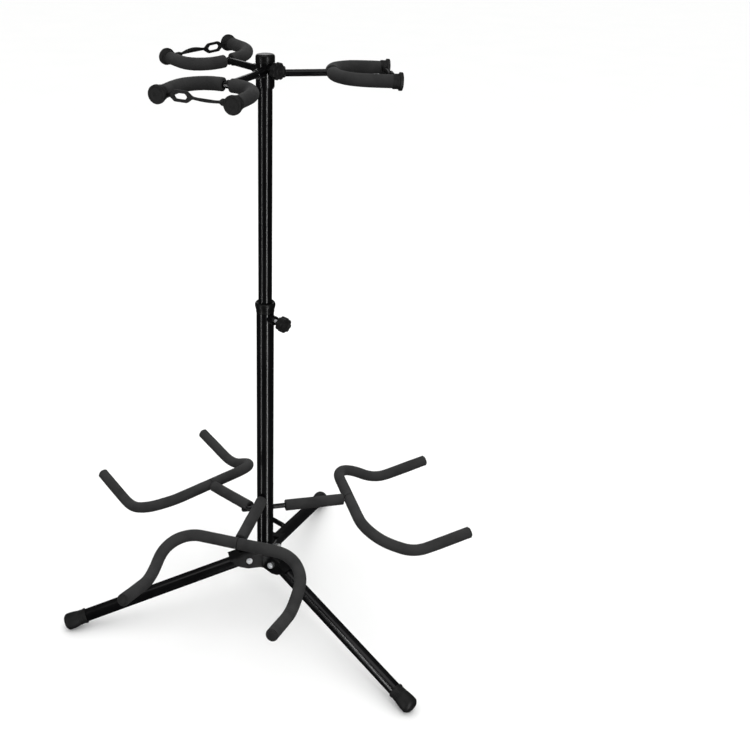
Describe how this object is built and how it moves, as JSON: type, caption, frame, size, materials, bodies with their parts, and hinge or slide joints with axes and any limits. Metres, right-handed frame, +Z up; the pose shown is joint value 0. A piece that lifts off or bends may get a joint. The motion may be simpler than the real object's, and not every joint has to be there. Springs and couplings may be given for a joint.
{
  "type": "guitar rack",
  "caption": "Folding upright rack with splayed legs, foam-covered body cradles low on the column and padded neck yokes with rubber straps at the top.",
  "frame": {"origin": "column axis at the floor", "axes": "+Z up along the column; -Y towards the front cradle; +X to the right"},
  "size_m": [0.7157, 0.6807, 0.994],
  "materials": {
    "black_powder_coat": "gloss black powder coat over steel tube",
    "zinc_steel": "bright zinc plate",
    "foam_sleeve": "matte closed-cell foam, charcoal",
    "rubber_boot": "moulded black rubber",
    "rubber_cap": "moulded black rubber with a fine grain",
    "rubber_strap": "flexible black rubber",
    "knob_plastic": "textured black nylon",
    "black_plastic": "smooth black nylon"
  },
  "bodies": {
    "base": {"lower_tube": "black_powder_coat", "base_hub": "black_powder_coat", "hub_plug": "black_plastic", "leg_bolts": "zinc_steel", "leg_nuts": "zinc_steel", "collar": "black_plastic", "knob_boss": "black_powder_coat"},
    "leg_rear": {"leg_rear_tube": "black_powder_coat", "leg_rear_bush": "black_plastic", "leg_rear_boot": "rubber_boot"},
    "leg_left": {"leg_left_tube": "black_powder_coat", "leg_left_bush": "black_plastic", "leg_left_boot": "rubber_boot"},
    "leg_right": {"leg_right_tube": "black_powder_coat", "leg_right_bush": "black_plastic", "leg_right_boot": "rubber_boot"},
    "mast": {"upper_tube": "black_powder_coat", "mast_guide": "black_plastic"},
    "height_clamp": {"height_knob": "knob_plastic", "height_screw": "zinc_steel"},
    "yoke_head": {"head_sleeve": "black_powder_coat", "head_cap": "black_plastic", "yoke_front_frame": "black_powder_coat", "yoke_front_foam_a": "foam_sleeve", "yoke_front_foam_b": "foam_sleeve", "yoke_front_caps": "rubber_cap", "yoke_front_strap": "rubber_strap", "yoke_right_frame": "black_powder_coat", "yoke_right_foam_a": "foam_sleeve", "yoke_right_foam_b": "foam_sleeve", "yoke_right_caps": "rubber_cap", "yoke_right_strap": "rubber_strap", "yoke_left_frame": "black_powder_coat", "yoke_left_foam_a": "foam_sleeve", "yoke_left_foam_b": "foam_sleeve", "yoke_left_caps": "rubber_cap", "yoke_left_strap": "rubber_strap"},
    "head_clamp": {"head_knob": "knob_plastic", "head_screw": "zinc_steel"},
    "cradle_front": {"cradle_front_rod": "black_powder_coat", "cradle_front_stem_foam": "foam_sleeve", "cradle_front_foam_a": "foam_sleeve", "cradle_front_foam_b": "foam_sleeve", "cradle_front_tips": "rubber_cap"},
    "cradle_right": {"cradle_right_rod": "black_powder_coat", "cradle_right_stem_foam": "foam_sleeve", "cradle_right_foam_a": "foam_sleeve", "cradle_right_foam_b": "foam_sleeve", "cradle_right_tips": "rubber_cap"},
    "cradle_left": {"cradle_left_rod": "black_powder_coat", "cradle_left_stem_foam": "foam_sleeve", "cradle_left_foam_a": "foam_sleeve", "cradle_left_foam_b": "foam_sleeve", "cradle_left_tips": "rubber_cap"}
  },
  "joints": [
    {"name": "mast_height", "type": "slide", "parent": "base", "child": "mast", "axis": [0, 0, 1], "range_m": [-0.23, 0.05]},
    {"name": "leg_rear_fold", "type": "hinge", "parent": "base", "child": "leg_rear", "pos_m": [0, 0.031, 0.1088], "axis": [-1, 0, 0], "range_deg": [0, 72]},
    {"name": "leg_left_fold", "type": "hinge", "parent": "base", "child": "leg_left", "pos_m": [-0.02685, -0.0155, 0.1088], "axis": [0.5, -0.866, 0], "range_deg": [0, 72]},
    {"name": "leg_right_fold", "type": "hinge", "parent": "base", "child": "leg_right", "pos_m": [0.02685, -0.0155, 0.1088], "axis": [0.5, 0.866, 0], "range_deg": [0, 72]},
    {"name": "height_knob_turn", "type": "hinge", "parent": "base", "child": "height_clamp", "pos_m": [0, 0, 0.572], "axis": [0.866, -0.5, 0], "range_deg": [0, 720]},
    {"name": "head_swivel", "type": "hinge", "parent": "mast", "child": "yoke_head", "pos_m": [0, 0, 0.969], "axis": [0, 0, 1], "continuous": true},
    {"name": "head_knob_turn", "type": "hinge", "parent": "yoke_head", "child": "head_clamp", "pos_m": [0, 0, 0.972], "axis": [0.866, -0.5, 0], "range_deg": [0, 720]},
    {"name": "cradle_front_slide", "type": "slide", "parent": "base", "child": "cradle_front", "axis": [0, -0.9945, -0.1045], "range_m": [0, 0.03]},
    {"name": "cradle_right_slide", "type": "slide", "parent": "base", "child": "cradle_right", "axis": [0.866, 0.5, 0], "range_m": [-0.018, 0.012]},
    {"name": "cradle_left_slide", "type": "slide", "parent": "base", "child": "cradle_left", "axis": [-0.8639, 0.4988, -0.0698], "range_m": [-0.024, 0.012]}
  ]
}
